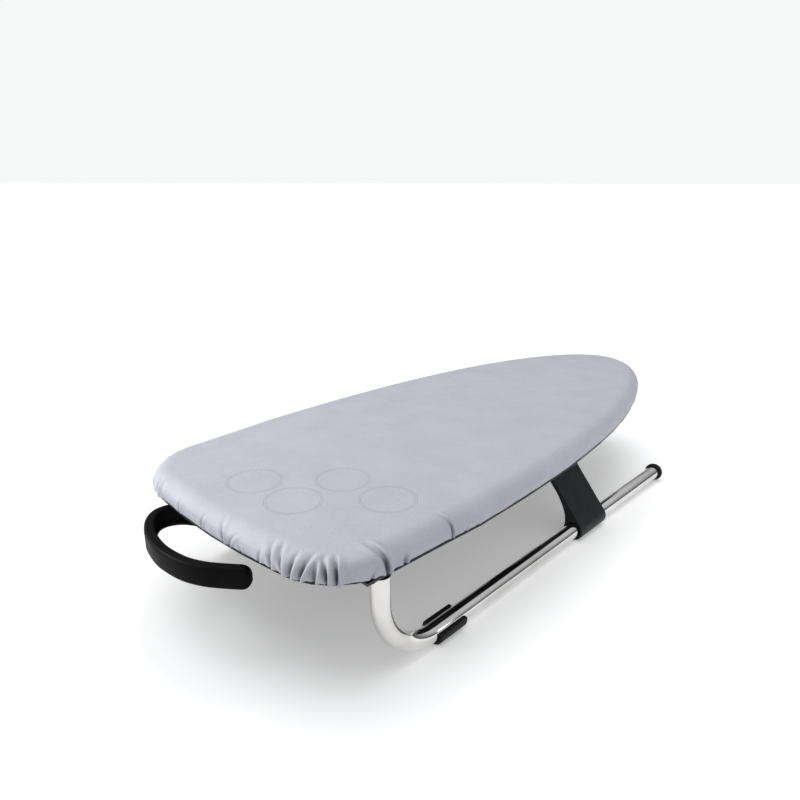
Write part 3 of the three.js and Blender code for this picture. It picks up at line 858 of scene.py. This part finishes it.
def felt_finish():
    """Grey needled felt."""
    look = Finish("grey_felt", 0.95)
    look.colour(look.grain(1.2, 8), (0.20, 0.20, 0.21), (0.36, 0.36, 0.37))
    look.set(Sheen_Weight=0.4)
    look.bump((look.grain(0.6, 8, (4, 1, 1)), 0.4), (look.grain(0.7, 8, (1, 4, 1)), 0.3))
    return look.material


def elastic_finish():
    """Black braided elastic."""
    look = Finish("black_elastic", 0.8)
    look.colour(look.grain(0.5, 2), (0.010, 0.010, 0.011), (0.035, 0.035, 0.037))
    look.bump((look.grain(0.45, 2, (3, 3, 1)), 0.15))
    return look.material


def plastic_finish(name, dark, light, roughness, texture, shine, soften=None, scuffs=0.25):
    """Moulded plastic: a fine moulded grain, faint flow marks and light scuffing."""
    look = Finish(name, roughness)
    look.colour(look.grain(22, 5), dark, light)
    scratches = look.grain(3, 6, (9, 1, 1))
    wear = look.math("ADD", look.math("MULTIPLY", scratches, scuffs),
                     look.math("MULTIPLY", look.grain(12, 4), 1 - scuffs))
    look.vary_roughness(wear, roughness - 0.07, roughness + 0.1)
    look.set(Specular_IOR_Level=shine)
    look.bump((look.grain(texture, 2), 0.045), (look.grain(26, 2), 0.12), soften=soften)
    return look.material


def chrome_finish():
    """Polished chrome plate over drawn tube, with the draw's faint streaks and thumb marks."""
    look = Finish("polished_chrome", 0.07, 1.0)
    look.colour(look.grain(60, 3), (0.60, 0.585, 0.57), (0.80, 0.79, 0.78))
    streaks = look.grain(1.6, 3, (40, 1, 1))
    smudges = look.grain(17, 5)
    marks = look.math("ADD", look.math("MULTIPLY", streaks, 0.4), look.math("MULTIPLY", smudges, 0.6))
    look.vary_roughness(marks, 0.045, 0.13)
    look.bump((streaks, 0.012), (look.grain(30, 2), 0.03))
    return look.material


def steel_finish():
    """Black zinc plated steel, a little mottled."""
    look = Finish("zinc_plate", 0.45, 0.6)
    look.colour(look.grain(5, 6), (0.028, 0.028, 0.030), (0.062, 0.062, 0.062))
    look.vary_roughness(look.grain(3, 5), 0.38, 0.55)
    look.bump((look.grain(1.2, 4, (5, 1, 1)), 0.03), (look.grain(4, 3), 0.03), soften=0.35)
    return look.material


def floor_finish():
    """Matt white table top that lifts its own shadows a little."""
    look = Finish("white_surface", 0.6)
    look.colour(look.grain(220, 2), (0.83, 0.83, 0.835), (0.85, 0.85, 0.85))
    look.set(Specular_IOR_Level=0.1, Emission_Color=(1, 1, 1, 1), Emission_Strength=FLOOR_GLOW)
    return look.material


FINISHES = {
    "cover_cloth": cloth_finish(),
    "felt": felt_finish(),
    "cord": elastic_finish(),
    "black_panel": plastic_finish(
        "black_panel_plastic", (0.005, 0.005, 0.006), (0.009, 0.009, 0.010),
        roughness=0.55, texture=0.7, shine=0.3, soften=0.3),
    "black_handle": plastic_finish(
        "black_handle_plastic", (0.0020, 0.0022, 0.0020), (0.0040, 0.0043, 0.0038),
        roughness=0.42, texture=0.5, shine=0.035),
    "slate_plastic": plastic_finish(
        "slate_plastic_moulding", (0.007, 0.008, 0.009), (0.012, 0.0135, 0.015),
        roughness=0.46, texture=0.6, shine=0.2),
    "foot_rubber": plastic_finish(
        "foot_rubber_moulding", (0.005, 0.0055, 0.006), (0.010, 0.0105, 0.011),
        roughness=0.6, texture=0.5, shine=0.18, scuffs=0.5),
    "chrome_tube": chrome_finish(),
    "zinc_steel": steel_finish(),
}

# ---- assembly ---------------------------------------------------------------------------------------


def fit(piece, body, slot, *nodes):
    """Puts a piece on its body in place of its CAD nodes, with its slot's material."""
    piece.data.materials.clear()
    piece.data.materials.append(FINISHES[slot])
    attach(piece, body)
    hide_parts(*nodes)
    return piece


def finish_node(node, slot):
    """Gives a carried-over CAD node its material."""
    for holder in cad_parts[node].material_slots:
        holder.material = FINISHES[slot]


cover = fit(make_cover(), "board", "cover_cloth", "cover")
pad = fit(make_pad(), "board", "felt", "felt_pad")
fit(make_hem_cord(), "board", "cord", "hem_cord")
fit(make_handle(), "board", "black_handle", "hanging_handle")

finish_node("board_panel", "black_panel")
for number in (1, 2):
    finish_node(f"handle_screw_{number}", "zinc_steel")
for side in SIDES:
    fit(make_leg_tube(side), f"leg_{side}", "chrome_tube", f"leg_tube_{side}")
    fit(make_foot_pad(side), f"leg_{side}", "foot_rubber", f"foot_pad_{side}")
    fit(make_end_cap(side), f"leg_{side}", "foot_rubber", f"end_cap_{side}")
    fit(make_brace(side), f"brace_link_{side}", "slate_plastic", f"brace_{side}")
    finish_node(f"brace_catch_{side}", "black_panel")
    for node in ("hinge_bracket", "hinge_pin", "hinge_knuckle"):
        finish_node(f"{node}_{side}", "zinc_steel")
    for number in (1, 2):
        finish_node(f"hinge_screw_{side}_{number}", "zinc_steel")
        finish_node(f"catch_screw_{side}_{number}", "zinc_steel")

# ---- floor and light --------------------------------------------------------------------------------


def make_floor():
    """One large pale floor."""
    mesh = bpy.data.meshes.new("floor")
    r = FLOOR_REACH
    mesh.from_pydata([(-r, -r, 0), (r, -r, 0), (r, r, 0), (-r, r, 0)], [], [(0, 1, 2, 3)])
    mesh.materials.append(floor_finish())
    floor = bpy.data.objects.new("floor", mesh)
    bpy.context.scene.collection.objects.link(floor)
    return floor


def make_light(name, at, towards, size, power, spares=None):
    """A soft box, which may leave one object unlit."""
    data = bpy.data.lights.new(name, "AREA")
    data.shape = "RECTANGLE"
    data.size, data.size_y = size
    data.energy = power
    light = bpy.data.objects.new(name, data)
    bpy.context.scene.collection.objects.link(light)
    light.location = at
    light.rotation_euler = (Vector(towards) - Vector(at)).to_track_quat("-Z", "Y").to_euler()
    if spares:
        spared = bpy.data.collections.new(f"spared_by_{name}")
        spared.objects.link(spares)
        light.light_linking.receiver_collection = spared
        spared.collection_objects[0].light_linking.link_state = "EXCLUDE"


def make_world():
    """A pale backdrop for the camera, and a soft sky for everything else, brighter overhead."""
    world = bpy.data.worlds.new("studio")
    world.use_nodes = True
    nodes, links = world.node_tree.nodes, world.node_tree.links
    backdrop = nodes["Background"]
    backdrop.inputs["Color"].default_value = BACKDROP
    ambient = nodes.new("ShaderNodeBackground")
    height = nodes.new("ShaderNodeSeparateXYZ")
    links.new(nodes.new("ShaderNodeTexCoord").outputs["Generated"], height.inputs[0])
    sky = nodes.new("ShaderNodeValToRGB")
    sky.color_ramp.elements[0].position, sky.color_ramp.elements[1].position = 0.08, 0.5
    sky.color_ramp.elements[0].color, sky.color_ramp.elements[1].color = HORIZON, ZENITH
    links.new(height.outputs["Z"], sky.inputs[0])
    links.new(sky.outputs[0], ambient.inputs["Color"])
    choice = nodes.new("ShaderNodeMixShader")
    links.new(nodes.new("ShaderNodeLightPath").outputs["Is Camera Ray"], choice.inputs[0])
    links.new(ambient.outputs[0], choice.inputs[1])
    links.new(backdrop.outputs[0], choice.inputs[2])
    links.new(choice.outputs[0], nodes["World Output"].inputs["Surface"])
    bpy.context.scene.world = world


def make_sun(name, towards, angle, strength):
    """A distant soft light, angle degrees across."""
    data = bpy.data.lights.new(name, "SUN")
    data.energy = strength
    data.angle = math.radians(angle)
    light = bpy.data.objects.new(name, data)
    bpy.context.scene.collection.objects.link(light)
    light.rotation_euler = Vector(towards).to_track_quat("-Z", "Y").to_euler()


floor = make_floor()
make_world()
make_sun("overhead", towards=(0.1, -0.05, -1), angle=45, strength=1.35)
make_light("key", at=(-1.3, 0.95, 0.7), towards=(-0.3, 0, 0.12), size=(1.1, 0.8), power=27, spares=floor)
make_light("fill", at=(0.22, -0.95, 0.35), towards=(0.05, -0.16, 0.12), size=(0.5, 0.4), power=1.6,
           spares=floor)
bpy.context.scene.view_settings.view_transform = "Standard"
